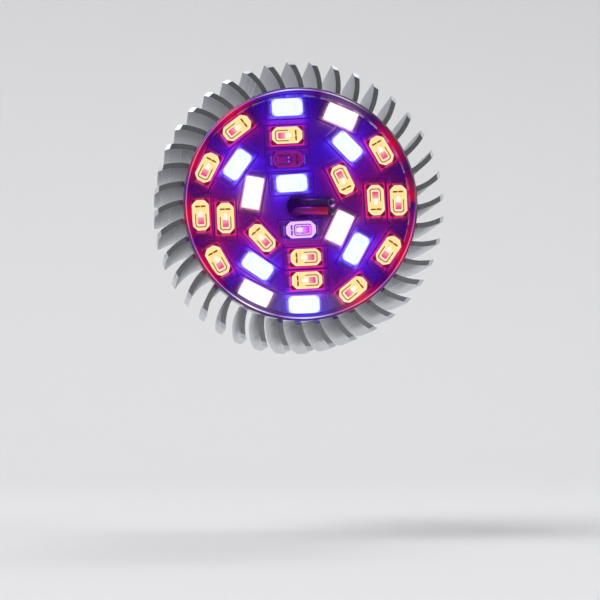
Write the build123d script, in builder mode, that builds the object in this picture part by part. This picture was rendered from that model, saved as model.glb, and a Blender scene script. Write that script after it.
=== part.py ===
from build123d import *
import os
from math import asin, atan2, cos, degrees, pi, radians, sin, sqrt

# A screw-in grow lamp: emitters on a round board behind a clear cap, at the front of a
# turned aluminium heat sink with curled fins, with its driver and a screw cap behind.
# The lamp's axis lies along Y and its face looks towards -Y. A height is measured along
# the axis from the tip of the centre contact, towards the face. Sizes are in millimetres.

# Screw cap, a standard 27 mm Edison screw
contact_diameter = 9.6
contact_height = 1.5
contact_crown = 0.7
rivet_diameter = 3.2
insulator_height = 3.5
insulator_tip_diameter = 14.5
insulator_plug_height = 2.4
lip_step = 1.15
lip_height = 1.3
thread_diameter = 26.2
thread_pitch = 3.63
thread_depth = 1.05
thread_turns = 4.5
thread_fade = 0.5
collar_step = 0.2
collar_flare = 1.0
collar_height = 3.8
shell_wall = 0.4

# Neck housing, moulded in white plastic
fit_gap = 0.1
neck_step = 0.6
neck_band_height = 1.8
neck_height = 7.2
flange_diameter = 33.2
flange_edge = 0.8
spigot_wall = 1.4
sleeve_wall = 1.6
end_wall = 1.5
boss_diameter = 4.4
boss_height = 7.0
rail_length = 24.0
rail_height = 4.0
rail_depth = 1.1
notch_width = 1.6
notch_height = 3.0

# Heat sink, an extruded star section that is turned outside, bored and recessed
body_diameter = 52.0
sink_length = 38.5
core_diameter = 31.2
bore_diameter = 26.6
web_thickness = 3.9
fin_count = 40
fin_thickness = 0.9
fin_straight_radius = 19.2
fin_curl_radius = 10.5
fin_turn = -1.5
tail_diameter = 35.0
tail_length = 21.0
rim_chamfer = 0.7
recess_chamfer = 0.4
wire_hole_diameter = 4.4

# Clear cap over the emitters
cap_diameter = 41.8
cap_wall = 1.0
cap_window = 1.2
cap_proud = 2.1
cap_edge_radius = 0.5
cap_gap = 0.05
recess_depth = 3.4

# Emitter board on its thermal pad
board_thickness = 1.0
pad_thickness = 0.3
pad_margin = 0.4
land_thickness = 0.1
land_length = 1.5
land_width = 2.4
land_overlap = 0.6

# One emitter package
package_length = 5.5
package_width = 3.0
package_height = 0.9
window_length = 5.0
window_width = 2.7
window_corner = 0.8
white_window_corner = 0.3
window_depth = 0.55
window_slope = 30
die_size = 1.1
die_height = 0.15
die_offset = 0.75
terminal_length = 0.15
terminal_width = 2.2
terminal_height = 0.4

# Rings that the emitters sit on
ring_margin = 2.0
ring_pitch = 4.5

# Screws that hold the neck housing to the heat sink
screw_spread = 18.4
screw_diameter = 2.4
screw_length = 9.0
screw_head_diameter = 4.4
screw_head_height = 1.3
screw_slot_width = 0.6
screw_slot_depth = 0.7
screw_gap = 0.15

# Wires
lead_diameter = 1.4
lead_gap = 0.1
lead_drop = 0.25
lead_bend = 1.3
lead_tail = 5.0
red_lead_place = -0.5
black_lead_place = 0.6
lead_spread = 1.4
joint_place = 5.0
joint_height = 1.3
joint_edge_radius = 0.4
supply_wire_diameter = 1.2
supply_wire_bend = 2.0
supply_wire_tail = 5.0

# Driver board and what is soldered to it
driver_thickness = 1.2
driver_length = 45.0
driver_start_gap = 4.5
driver_gap = 0.15
smoothing_diameter = 8.0
smoothing_length = 14.0
smoothing_groove = 0.4
film_length = 10.0
film_width = 4.5
film_height = 7.0
film_edge = 0.8
choke_diameter = 8.0
choke_height = 7.5
choke_flange = 1.1
choke_core_diameter = 4.0
winding_diameter = 7.0
rectifier_length = 4.8
rectifier_width = 4.0
rectifier_height = 2.5
chip_length = 5.0
chip_width = 4.0
chip_height = 1.5
resistor_diameter = 2.8
resistor_length = 8.0
soft_edge = 0.3

# Places on the driver board: across from its middle, and along from its rear end
smoothing_place = (-1.0, 10.0)
groove_place = 1.5
film_place = (-4.5, 31.0)
choke_place = (3.6, 31.0)
rectifier_place = (6.0, 22.0)
chip_place = (-5.0, 41.0)
resistor_place = (6.5, 10.0)
live_place = (-5.0, 3.0)
neutral_place = (5.5, 3.0)
rivet_wire_rise = 3.0

# Heights along the axis that follow from the sizes above
lip_start = contact_height + insulator_height
thread_start = lip_start + lip_height
thread_end = thread_start + thread_turns * thread_pitch
rim = thread_end + collar_height
plug_top = lip_start + insulator_plug_height
housing_start = plug_top + fit_gap
sink_rear = rim + neck_height
sink_front = sink_rear + sink_length
recess_floor = sink_front - recess_depth
bore_end = recess_floor - web_thickness
housing_top = bore_end - fit_gap
board_back = recess_floor + pad_thickness
board_front = board_back + board_thickness
land_top = board_front + land_thickness
package_top = land_top + package_height
cap_front = sink_front + cap_proud

# Radii that follow
thread_root = thread_diameter / 2 - thread_depth
shell_bore = thread_root - shell_wall
lip_radius = thread_root - lip_step
collar_radius = thread_diameter / 2 + collar_step
neck_radius = collar_radius + neck_step
spigot_bore = shell_bore - fit_gap - spigot_wall
sleeve_radius = bore_diameter / 2 - fit_gap
sleeve_bore = sleeve_radius - sleeve_wall
cap_bore = cap_diameter / 2 - cap_wall
board_radius = cap_bore - fit_gap
recess_radius = cap_diameter / 2 + cap_gap
lead_radius = lead_diameter / 2
wire_radius = supply_wire_diameter / 2

# Rings of emitters, from the edge of the board inwards
outer_ring = board_radius - ring_margin
middle_ring = outer_ring - ring_pitch
inner_ring = middle_ring - ring_pitch
centre_ring = inner_ring - ring_pitch

# Every emitter, as it is placed on the board: its colour, its distance from the axis, its
# bearing from the axis, and the way its barred end points. Both angles are in degrees,
# anticlockwise from the right as the face is seen.
emitters = [
    ("blue", outer_ring, 97, 3),
    ("white", outer_ring, 65, 157),
    ("red", outer_ring, 34, 120),
    ("red", outer_ring, 3, 92),
    ("red", outer_ring, 333, 55),
    ("red", outer_ring, 302, 39),
    ("blue", outer_ring, 272, 2),
    ("white", outer_ring, 243, 153),
    ("red", outer_ring, 214, 119),
    ("red", outer_ring, 186, 93),
    ("red", outer_ring, 158, 63),
    ("red", outer_ring, 129, 38),
    ("red", middle_ring - 0.5, 100, 3),
    ("blue", middle_ring + 0.4, 51, 134),
    ("red", middle_ring + 0.4, 4, 273),
    ("blue", middle_ring - 0.6, 322, 61),
    ("red", middle_ring + 0.2, 275, 183),
    ("blue", middle_ring, 235, 146),
    ("red", middle_ring + 0.2, 190, 92),
    ("blue", middle_ring, 147, 55),
    ("infrared", inner_ring - 0.3, 104, 3),
    ("red", inner_ring + 0.2, 31, 296),
    ("white", inner_ring - 0.6, 331, 65),
    ("red", inner_ring + 0.6, 276, 183),
    ("red", inner_ring + 0.2, 221, 132),
    ("white", inner_ring - 0.1, 165, 80),
    ("blue", centre_ring - 0.1, 110, 4),
    ("ultraviolet", centre_ring + 0.1, 272, 183),
]

lengthwise = Plane(origin=(0, 0, 0), x_dir=(1, 0, 0), z_dir=(0, 0, -1))
os.makedirs("parts", exist_ok=True)


def across(height):
    """The plane square to the axis at a height, as seen from the face."""
    return Plane.XZ.offset(height)


def at(x, z, height):
    """A point from its place across the axis and its height along it."""
    return Vector(x, -height, z)


def on_board(distance, bearing, heading, height):
    """An emitter's own plane, with its x towards the barred end."""
    place = at(distance * cos(radians(bearing)), distance * sin(radians(bearing)), height)
    towards = (cos(radians(heading)), 0, sin(radians(heading)))
    return Plane(origin=place, x_dir=towards, z_dir=(0, -1, 0))


def keep(built, name):
    """Labels a finished piece and writes it."""
    built.part.label = name
    export_step(built.part, f"parts/{name}.step")


# Centre contact: a crowned disc with the rivet that passes through the insulator
rivet_top = plug_top + 2 * fit_gap
with BuildPart() as centre_contact:
    with BuildSketch(lengthwise):
        with BuildLine():
            crown = TangentArc((0, 0), (contact_diameter / 2, contact_crown), tangent=(1, 0))
            Polyline(
                crown @ 1,
                (contact_diameter / 2, contact_height),
                (rivet_diameter / 2, contact_height),
                (rivet_diameter / 2, rivet_top),
                (0, rivet_top),
                crown @ 0,
            )
        make_face()
    revolve(axis=Axis.Y)
keep(centre_contact, "centre_contact")

# Black insulator: a cone between the contact and the shell, with a plug inside the lip
with BuildPart() as base_insulator:
    with BuildSketch(lengthwise):
        with BuildLine():
            Polyline(
                (rivet_diameter / 2, contact_height),
                (insulator_tip_diameter / 2, contact_height),
                (lip_radius, lip_start),
                (lip_radius - shell_wall, lip_start),
                (lip_radius - shell_wall, plug_top),
                (rivet_diameter / 2, plug_top),
                close=True,
            )
        make_face()
    revolve(axis=Axis.Y)
keep(base_insulator, "base_insulator")

# Screw shell: the rounded thread is a circle that winds round the axis as it rises
sections_per_turn = 8
section_count = round(thread_turns * sections_per_turn)
thread_length = thread_turns * thread_pitch
with BuildPart() as screw_shell:
    for step in range(section_count + 1):
        turned = step / section_count * thread_turns
        fade = min(1, turned / thread_fade, (thread_turns - turned) / thread_fade)
        swing = thread_depth / 2 * sin(pi / 2 * fade) ** 2
        angle = 2 * pi * turned
        with BuildSketch(across(thread_start + turned * thread_pitch)):
            with Locations((swing * cos(angle), swing * sin(angle))):
                Circle(thread_root + swing)
    loft()
    with BuildSketch(lengthwise):
        with BuildLine():
            Polyline(
                (0, lip_start),
                (lip_radius, lip_start),
                (thread_root, thread_start),
                (0, thread_start),
                close=True,
            )
        make_face()
        with BuildLine():
            Polyline(
                (0, thread_end),
                (thread_root, thread_end),
                (collar_radius, thread_end + collar_flare),
                (collar_radius, rim),
                (0, rim),
                close=True,
            )
        make_face()
    revolve(axis=Axis.Y)
    with BuildSketch(lengthwise):
        with BuildLine():
            Polyline(
                (0, lip_start),
                (lip_radius - shell_wall, lip_start),
                (shell_bore, thread_start),
                (shell_bore, thread_end),
                (collar_radius - shell_wall, thread_end + collar_flare),
                (collar_radius - shell_wall, rim),
                (0, rim),
                close=True,
            )
        make_face()
    revolve(axis=Axis.Y, mode=Mode.SUBTRACT)
keep(screw_shell, "screw_shell")

# Neck housing: a spigot in the shell, a flared neck in view, and a sleeve in the heat sink
spigot_radius = shell_bore - fit_gap
collar_fit = collar_radius - shell_wall - fit_gap
rail_start = housing_top - end_wall - rail_length
driver_face = -lead_drop - lead_radius - lead_gap / 2 - lead_radius
driver_level = driver_face - driver_thickness / 2
driver_corner = driver_face - driver_thickness
driver_bore = min(spigot_bore, sleeve_bore)
driver_width = 2 * (sqrt(driver_bore**2 - driver_corner**2) - driver_gap)
wire_level = driver_face + wire_radius
screw_places = [(0, screw_spread / 2), (0, -screw_spread / 2)]
with BuildPart() as neck_housing:
    with BuildSketch(lengthwise):
        with BuildLine():
            inside = Polyline(
                (0, housing_top),
                (0, housing_start),
                (spigot_radius, housing_start),
                (spigot_radius, thread_end),
                (collar_fit, thread_end + collar_flare),
                (collar_fit, rim),
                (neck_radius, rim),
                (neck_radius, rim + neck_band_height),
            )
            flare = TangentArc(
                inside @ 1,
                (flange_diameter / 2, sink_rear - flange_edge),
                tangent=(0, 1),
            )
            Polyline(
                flare @ 1,
                (flange_diameter / 2, sink_rear),
                (sleeve_radius, sink_rear),
                (sleeve_radius, housing_top),
                inside @ 0,
            )
        make_face()
        with BuildLine():
            Polyline(
                (0, housing_start),
                (spigot_bore, housing_start),
                (spigot_bore, rim),
                (sleeve_bore, rim + sleeve_wall),
                (sleeve_bore, housing_top - end_wall),
                (0, housing_top - end_wall),
                close=True,
            )
        make_face(mode=Mode.SUBTRACT)
    revolve(axis=Axis.Y)
    with BuildSketch(across(rail_start)):
        Circle(sleeve_radius - sleeve_wall / 2)
        with Locations((0, driver_level)):
            Rectangle(2 * sleeve_radius, rail_height, mode=Mode.INTERSECT)
            Rectangle(driver_width - 2 * rail_depth, rail_height, mode=Mode.SUBTRACT)
            Rectangle(
                driver_width + 2 * driver_gap,
                driver_thickness + 2 * driver_gap,
                mode=Mode.SUBTRACT,
            )
    extrude(amount=rail_length)
    with BuildSketch(across(housing_top - end_wall)):
        with Locations(screw_places):
            Circle(boss_diameter / 2)
    extrude(amount=-boss_height)
    with BuildSketch(across(housing_top)):
        Circle(wire_hole_diameter / 2)
    extrude(amount=-end_wall, mode=Mode.SUBTRACT)
    with BuildSketch(across(housing_top)):
        with Locations(screw_places):
            Circle(screw_diameter / 2)
    extrude(amount=-end_wall - boss_height, mode=Mode.SUBTRACT)
    with BuildSketch(across(housing_start)):
        with Locations((spigot_bore + spigot_wall / 2, 0)):
            Rectangle(2 * spigot_wall, notch_width)
    extrude(amount=notch_height, mode=Mode.SUBTRACT)
keep(neck_housing, "neck_housing")

# Heat sink: every fin leaves the core straight and curls to one side, and the turned
# outline then cuts all the fins to length
fin_reach = body_diameter / 2 + fin_thickness
fin_centre = sqrt(fin_straight_radius**2 + fin_curl_radius**2)
inner_curl = fin_curl_radius - fin_thickness / 2
outer_curl = fin_curl_radius + fin_thickness / 2
fin_rise = (fin_reach**2 - fin_centre**2 - inner_curl**2) / (2 * inner_curl)
fin_sweep = degrees(atan2(fin_curl_radius, fin_straight_radius) + asin(fin_rise / fin_centre))
fin_root = (core_diameter + bore_diameter) / 4
front_land = body_diameter / 2 - recess_radius - recess_chamfer
rim_cut = min(rim_chamfer, front_land / 2)
with BuildPart() as heat_sink:
    with BuildSketch(across(sink_rear)) as star:
        with BuildSketch(mode=Mode.PRIVATE) as fin:
            with BuildLine():
                leading = Line(
                    (fin_root, -fin_thickness / 2),
                    (fin_straight_radius, -fin_thickness / 2),
                )
                outside = JernArc(leading @ 1, (1, 0), outer_curl, fin_sweep)
                trailing = Line(
                    (fin_root, fin_thickness / 2),
                    (fin_straight_radius, fin_thickness / 2),
                )
                within = JernArc(trailing @ 1, (1, 0), inner_curl, fin_sweep)
                Line(outside @ 1, within @ 1)
                Line(trailing @ 0, leading @ 0)
            make_face()
        Circle(core_diameter / 2)
        with PolarLocations(0, fin_count, start_angle=fin_turn):
            add(fin.sketch)
    extrude(amount=sink_length)
    with BuildSketch(lengthwise):
        with BuildLine():
            tail = TangentArc(
                (body_diameter / 2, sink_rear + tail_length),
                (tail_diameter / 2, sink_rear),
                tangent=(0, -1),
            )
            Polyline(
                tail @ 1,
                (0, sink_rear),
                (0, sink_front - recess_chamfer),
                (recess_radius, sink_front - recess_chamfer),
                (recess_radius + recess_chamfer, sink_front),
                (body_diameter / 2 - rim_cut, sink_front),
                (body_diameter / 2, sink_front - rim_cut),
                tail @ 0,
            )
        make_face()
    revolve(axis=Axis.Y, mode=Mode.INTERSECT)
    with BuildSketch(across(sink_rear)):
        Circle(bore_diameter / 2)
    extrude(amount=bore_end - sink_rear, mode=Mode.SUBTRACT)
    with BuildSketch(across(sink_front)):
        Circle(recess_radius)
    extrude(amount=-recess_depth, mode=Mode.SUBTRACT)
    with Locations(across(recess_floor)):
        Hole(wire_hole_diameter / 2, depth=web_thickness)
        with Locations(screw_places):
            CounterBoreHole(
                screw_diameter / 2 + screw_gap,
                screw_head_diameter / 2 + screw_gap,
                screw_head_height + fit_gap,
                depth=web_thickness,
            )
keep(heat_sink, "heat_sink")

# Screws that hold the housing against the heat sink, driven from under the board
head_top = recess_floor - fit_gap
with BuildPart() as housing_screws:
    with BuildSketch(across(head_top)):
        with Locations(screw_places):
            Circle(screw_head_diameter / 2)
    extrude(amount=-screw_head_height)
    with BuildSketch(across(head_top - screw_head_height)):
        with Locations(screw_places):
            Circle(screw_diameter / 2)
    extrude(amount=-screw_length)
    with BuildSketch(across(head_top)):
        with Locations(screw_places):
            Rectangle(screw_head_diameter, screw_slot_width)
    extrude(amount=-screw_slot_depth, mode=Mode.SUBTRACT)
keep(housing_screws, "housing_screws")

# Clear cap: a shallow cup, mouth down on the floor of the recess
with BuildPart() as clear_cap:
    with BuildSketch(across(recess_floor)):
        Circle(cap_diameter / 2)
    extrude(amount=cap_front - recess_floor)
    with BuildSketch(across(recess_floor)):
        Circle(cap_bore)
    extrude(amount=cap_front - cap_window - recess_floor, mode=Mode.SUBTRACT)
    fillet(clear_cap.edges().group_by(Axis.Y)[0], cap_edge_radius)
keep(clear_cap, "clear_cap")

# Thermal pad and emitter board
with BuildPart() as thermal_pad:
    with BuildSketch(across(recess_floor)):
        Circle(board_radius - pad_margin)
        Circle(wire_hole_diameter / 2, mode=Mode.SUBTRACT)
    extrude(amount=pad_thickness)
keep(thermal_pad, "thermal_pad")

with BuildPart() as emitter_board:
    with BuildSketch(across(board_back)):
        Circle(board_radius)
        Circle(wire_hole_diameter / 2, mode=Mode.SUBTRACT)
    extrude(amount=board_thickness)
keep(emitter_board, "emitter_board")

# Copper lands: two under every emitter, and one under each lead's joint
red_level = -lead_drop - lead_radius - lead_gap / 2
black_level = -lead_drop + lead_radius + lead_gap / 2
joint_centre = joint_place + lead_radius - lead_gap
land_offset = package_length / 2 - land_overlap + land_length / 2
with BuildPart() as board_lands:
    for colour, distance, bearing, heading in emitters:
        with BuildSketch(on_board(distance, bearing, heading, board_front)):
            with Locations((land_offset, 0), (-land_offset, 0)):
                Rectangle(land_length, land_width)
        extrude(amount=land_thickness)
    with BuildSketch(across(board_front)):
        with Locations((joint_centre, red_level), (joint_centre, black_level)):
            Rectangle(land_length, lead_diameter)
    extrude(amount=land_thickness)
keep(board_lands, "board_lands")


def window_outline(colour):
    """The mouth of a package's cup: clipped corners, or small round ones on white."""
    if colour == "white":
        RectangleRounded(window_length, window_width, white_window_corner)
    else:
        mouth = Rectangle(window_length, window_width)
        chamfer(mouth.vertices(), window_corner)


# Emitter packages: white blocks with a tapered cup, one node each
counts = {}
for colour, distance, bearing, heading in emitters:
    counts[colour] = counts.get(colour, 0) + 1
    with BuildPart() as package:
        with BuildSketch(on_board(distance, bearing, heading, land_top)):
            Rectangle(package_length, package_width)
        extrude(amount=package_height)
        with BuildSketch(on_board(distance, bearing, heading, package_top)):
            window_outline(colour)
        extrude(amount=-window_depth, taper=window_slope, mode=Mode.SUBTRACT)
    keep(package, f"{colour}_emitter_{counts[colour]:02d}")

# Dies on the floors of the cups, and the clear resin that fills the cups round them
cup_floor = package_top - window_depth
with BuildPart() as emitter_dies:
    for colour, distance, bearing, heading in emitters:
        with BuildSketch(on_board(distance, bearing, heading, cup_floor)):
            with Locations((-die_offset, 0)):
                Rectangle(die_size, die_size)
        extrude(amount=die_height)
keep(emitter_dies, "emitter_dies")

for tint in counts:
    with BuildPart() as resin:
        for colour, distance, bearing, heading in emitters:
            if colour == tint:
                with BuildSketch(on_board(distance, bearing, heading, package_top)):
                    window_outline(colour)
                extrude(amount=-window_depth, taper=window_slope)
        for colour, distance, bearing, heading in emitters:
            if colour == tint:
                with BuildSketch(on_board(distance, bearing, heading, cup_floor)):
                    with Locations((-die_offset, 0)):
                        Rectangle(die_size, die_size)
                extrude(amount=die_height, mode=Mode.SUBTRACT)
    keep(resin, f"{tint}_resin")

# Terminals at both ends of every package
terminal_offset = package_length / 2 + terminal_length / 2
with BuildPart() as emitter_terminals:
    for colour, distance, bearing, heading in emitters:
        with BuildSketch(on_board(distance, bearing, heading, land_top)):
            with Locations((terminal_offset, 0), (-terminal_offset, 0)):
                Rectangle(terminal_length, terminal_width)
        extrude(amount=terminal_height)
keep(emitter_terminals, "emitter_terminals")


def wire(name, radius, bend, *points):
    """A round wire through the points, with its corners bent to a radius."""
    with BuildPart() as bent:
        with BuildLine():
            route = FilletPolyline(*points, radius=bend)
        with BuildSketch(Plane(origin=route @ 0, z_dir=route % 0)):
            Circle(radius)
        sweep()
    keep(bent, name)


# Leads from the driver board, through the wire hole, to their joints on the emitter board
driver_start = housing_start + driver_start_gap
driver_end = driver_start + driver_length
lead_start = driver_end - lead_tail
lead_height = land_top + lead_radius
wire(
    "red_lead",
    lead_radius,
    lead_bend,
    at(red_lead_place, red_level, lead_start),
    at(red_lead_place, red_level, lead_height),
    at(joint_place, red_level, lead_height),
)
wire(
    "black_lead",
    lead_radius,
    lead_bend,
    at(black_lead_place + lead_spread, red_level, lead_start),
    at(black_lead_place + lead_spread, red_level, driver_end),
    at(black_lead_place, black_level, housing_top - end_wall),
    at(black_lead_place, black_level, lead_height),
    at(joint_place, black_level, lead_height),
)

# Solder joints, flat where they meet the ends of the leads
with BuildPart() as lead_joints:
    with BuildSketch(across(land_top)):
        with Locations((joint_centre, red_level), (joint_centre, black_level)):
            Circle(lead_radius)
    extrude(amount=joint_height)
    fillet(lead_joints.edges().group_by(Axis.Y)[0], joint_edge_radius)
    split(bisect_by=Plane.YZ.offset(joint_place), keep=Keep.TOP)
keep(lead_joints, "lead_joints")

# Driver board, held by its edges in the rails
with BuildPart() as driver_board:
    with BuildSketch(across(driver_start)):
        with Locations((0, driver_level)):
            Rectangle(driver_width, driver_thickness)
    extrude(amount=driver_length)
keep(driver_board, "driver_board")

# Supply wires: one from the rivet, and one that is trapped against the shell by the spigot
wire(
    "live_wire",
    wire_radius,
    supply_wire_bend,
    at(0, 0, rivet_top),
    at(0, 0, rivet_top + rivet_wire_rise),
    at(live_place[0], wire_level, driver_start + live_place[1]),
    at(live_place[0], wire_level, driver_start + live_place[1] + supply_wire_tail),
)
neutral_height = housing_start + notch_height / 2
neutral_end = sqrt(shell_bore**2 - wire_radius**2)
wire(
    "neutral_wire",
    wire_radius,
    supply_wire_bend,
    at(neutral_end, 0, neutral_height),
    at(spigot_bore - supply_wire_bend, 0, neutral_height),
    at(neutral_place[0], wire_level, driver_start + neutral_place[1]),
    at(neutral_place[0], wire_level, driver_start + neutral_place[1] + supply_wire_tail),
)

# Smoothing capacitor: a can with a rolled groove, lying on the driver board
can_radius = smoothing_diameter / 2
can_start = driver_start + smoothing_place[1]
groove_start = can_start + groove_place
with BuildPart() as smoothing_capacitor:
    with BuildSketch(across(can_start)):
        with Locations((smoothing_place[0], driver_face + can_radius)):
            Circle(can_radius)
    extrude(amount=smoothing_length)
    fillet(smoothing_capacitor.edges().filter_by(GeomType.CIRCLE), soft_edge)
    with BuildSketch(across(groove_start)):
        with Locations((smoothing_place[0], driver_face + can_radius)):
            Circle(can_radius)
            Circle(can_radius - smoothing_groove, mode=Mode.SUBTRACT)
    extrude(amount=2 * smoothing_groove, mode=Mode.SUBTRACT)
keep(smoothing_capacitor, "smoothing_capacitor")

# Parts that stand on the driver board
on_driver = Plane(origin=(0, -driver_start, driver_face), x_dir=(1, 0, 0), z_dir=(0, 0, 1))


def standing(place):
    """Where a part's place lies on the driver board's own plane."""
    return Locations((place[0], -place[1]))


with BuildPart() as film_capacitor:
    with BuildSketch(on_driver):
        with standing(film_place):
            RectangleRounded(film_width, film_length, film_edge)
    extrude(amount=film_height)
    fillet(film_capacitor.faces().sort_by(Axis.Z)[-1].edges(), film_edge / 2)
keep(film_capacitor, "film_capacitor")

with BuildPart() as choke_core:
    with BuildSketch(on_driver):
        with standing(choke_place):
            Circle(choke_diameter / 2)
    extrude(amount=choke_height)
    with BuildSketch(on_driver.offset(choke_flange)):
        with standing(choke_place):
            Circle(choke_diameter / 2)
            Circle(choke_core_diameter / 2, mode=Mode.SUBTRACT)
    extrude(amount=choke_height - 2 * choke_flange, mode=Mode.SUBTRACT)
keep(choke_core, "choke_core")

with BuildPart() as choke_winding:
    with BuildSketch(on_driver.offset(choke_flange)):
        with standing(choke_place):
            Circle(winding_diameter / 2)
            Circle(choke_core_diameter / 2, mode=Mode.SUBTRACT)
    extrude(amount=choke_height - 2 * choke_flange)
keep(choke_winding, "choke_winding")

with BuildPart() as bridge_rectifier:
    with BuildSketch(on_driver):
        with standing(rectifier_place):
            Rectangle(rectifier_width, rectifier_length)
    extrude(amount=rectifier_height)
    chamfer(bridge_rectifier.faces().sort_by(Axis.Z)[-1].edges(), soft_edge)
keep(bridge_rectifier, "bridge_rectifier")

with BuildPart() as driver_chip:
    with BuildSketch(on_driver):
        with standing(chip_place):
            Rectangle(chip_width, chip_length)
    extrude(amount=chip_height)
    chamfer(driver_chip.faces().sort_by(Axis.Z)[-1].edges(), soft_edge)
keep(driver_chip, "driver_chip")

with BuildPart() as fuse_resistor:
    with BuildSketch(across(driver_start + resistor_place[1])):
        with Locations((resistor_place[0], driver_face + resistor_diameter / 2)):
            Circle(resistor_diameter / 2)
    extrude(amount=resistor_length)
    fillet(fuse_resistor.edges().filter_by(GeomType.CIRCLE), soft_edge)
keep(fuse_resistor, "fuse_resistor")
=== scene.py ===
from math import atan2, cos, exp, hypot, pi, radians, sin, tan

import bmesh
import bpy
import numpy as np
from mathutils import Matrix, Quaternion, Vector


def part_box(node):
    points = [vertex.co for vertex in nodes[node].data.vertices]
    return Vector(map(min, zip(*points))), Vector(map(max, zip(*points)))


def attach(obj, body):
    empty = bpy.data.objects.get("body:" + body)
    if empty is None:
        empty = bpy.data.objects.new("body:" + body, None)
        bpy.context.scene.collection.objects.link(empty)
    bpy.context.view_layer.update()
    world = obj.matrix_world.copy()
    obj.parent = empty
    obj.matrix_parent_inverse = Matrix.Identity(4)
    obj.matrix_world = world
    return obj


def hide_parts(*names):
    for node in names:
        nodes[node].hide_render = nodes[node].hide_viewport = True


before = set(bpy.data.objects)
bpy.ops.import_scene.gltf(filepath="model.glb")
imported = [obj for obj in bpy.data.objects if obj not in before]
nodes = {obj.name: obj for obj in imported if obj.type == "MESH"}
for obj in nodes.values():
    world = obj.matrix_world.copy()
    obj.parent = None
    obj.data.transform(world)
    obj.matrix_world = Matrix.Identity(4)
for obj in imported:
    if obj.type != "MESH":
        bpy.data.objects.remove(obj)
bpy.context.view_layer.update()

# The grow lamp lies along Y and its face looks towards -Y. Heights are measured along the
# axis from the tip of the contact towards the face, and sizes are in millimetres until a
# point is placed.
MM = 0.001


def place(x, z, height):
    """A point in the frame, in metres, from its place across the axis and its height."""
    return Vector((x, -height, z)) * MM


def span(node):
    """A node's radius and its lowest and highest height, in millimetres."""
    low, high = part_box(node)
    radius = max(high.x - low.x, high.z - low.z) / 2
    return radius / MM, -high.y / MM, -low.y / MM


cap_radius, recess_floor, cap_front = span("clear_cap")
body_radius, _, sink_front = span("heat_sink")
board_radius, board_back, board_front = span("emitter_board")
shell_radius, lip_start, rim = span("screw_shell")
_, contact_height, plug_top = span("base_insulator")
contact_radius, _, rivet_top = span("centre_contact")
land_top = span("board_lands")[2]
hole_radius = 2.2
recess_radius = cap_radius + 0.05

# The cap: how thick its wall and its window are, and how far its edges are rounded.
cap_wall, cap_window, cap_edge = 1.0, 1.2, 0.5

# The screw shell: how far the crests of its thread stand inside the collar, how deep the thread
# is, and the step in to the lip that holds the insulator. The rivet of the contact goes through
# the insulator.
crest_inset, thread_depth, lip_step = 0.2, 1.05, 1.15
thread_root = shell_radius - crest_inset - thread_depth
lip_radius = thread_root - lip_step
rivet_radius = 1.6

# The leads run from the hole to their joints, red below black. They go in beside each other.
lead_radius, lead_bend, lead_end = 0.7, 1.3, 5.0
red_low, red_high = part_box("red_lead")
black_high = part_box("black_lead")[1]
red_level = (red_low.z + red_high.z) / 2 / MM
black_level = black_high.z / MM - lead_radius
lead_start = -red_high.y / MM
lead_height = -red_low.y / MM - lead_radius

# An emitter's package: a block with a cup, whose wall leans out.
package_length, package_width, package_height, package_corner = 5.7, 3.2, 0.9, 0.3
cup_depth = 0.5
cup_floor = package_height - cup_depth
wall_lean = cup_depth * tan(radians(30))


class Emitter:
    """One package: its colour, its node, and the way it lies on the board. Its corners give
    its slant, and its die tells its two ends apart."""

    def __init__(self, node):
        self.node = node
        self.tint = node.split("_")[0]
        low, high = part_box(node)
        middle = (low + high) / 2
        self.centre = Vector((middle.x, -land_top * MM, middle.z))
        reach = [v.co - middle for v in nodes[node].data.vertices]
        longest = max(hypot(v.x, v.z) for v in reach)
        corners = [v for v in reach if hypot(v.x, v.z) > 0.98 * longest]
        turned = sum(2 * v.x * v.z for v in corners), sum(v.x**2 - v.z**2 for v in corners)
        slant = atan2(*turned) / 2
        along = Vector((cos(slant), 0, sin(slant)))
        away = [v.co - middle for v in nodes["emitter_dies"].data.vertices]
        own = [v for v in away if v.length < 2 * MM]
        die = sum(own, Vector()) / len(own)
        self.along = -along if along.dot(die) > 0 else along
        self.out = Vector((0, -1, 0))
        self.across = self.out.cross(self.along)

    def lay(self, x, y, z):
        """A point of the package: towards its barred end, across, and up from the lands."""
        return self.centre + (self.along * x + self.across * y + self.out * z) * MM


emitters = [Emitter(node) for node in sorted(nodes) if "_emitter_" in node]

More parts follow.
